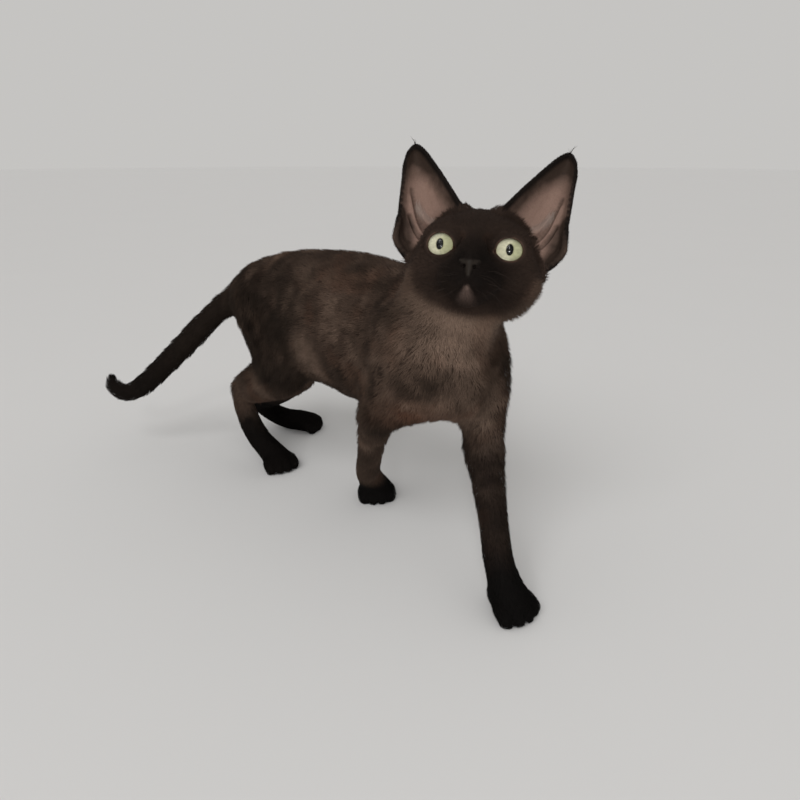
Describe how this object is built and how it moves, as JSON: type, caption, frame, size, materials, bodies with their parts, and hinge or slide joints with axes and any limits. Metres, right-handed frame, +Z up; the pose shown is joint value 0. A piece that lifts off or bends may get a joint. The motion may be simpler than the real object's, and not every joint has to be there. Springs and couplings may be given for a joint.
{
  "type": "devon rex kitten",
  "caption": "Life-size standing devon rex kitten in mid-stride, dark brown coat, large low-set ears, head raised and turned to its right.",
  "frame": {"origin": "middle of the floor plan, at the level of the soles", "axes": "+X forwards, from the tail to the chest; +Y to the kitten's left; +Z up"},
  "size_m": [0.3694, 0.1486, 0.2318],
  "materials": {
    "body_coat": "soft short fur, dark brown",
    "dark_coat": "soft short fur, nearly black",
    "ear_skin": "thin skin with a short down",
    "eye": "wet and glossy, pale green-yellow iris"
  },
  "bodies": {
    "root": {"head": "dark_coat", "neck": "body_coat", "trunk": "body_coat", "foreleg_left": "dark_coat", "foreleg_right": "dark_coat", "hindleg_left": "dark_coat", "hindleg_right": "dark_coat", "tail_base": "dark_coat", "tail_mid": "dark_coat", "tail_tip": "dark_coat", "ear_left": "ear_skin", "ear_right": "ear_skin", "eye_left": "eye", "eye_right": "eye"}
  },
  "joints": []
}
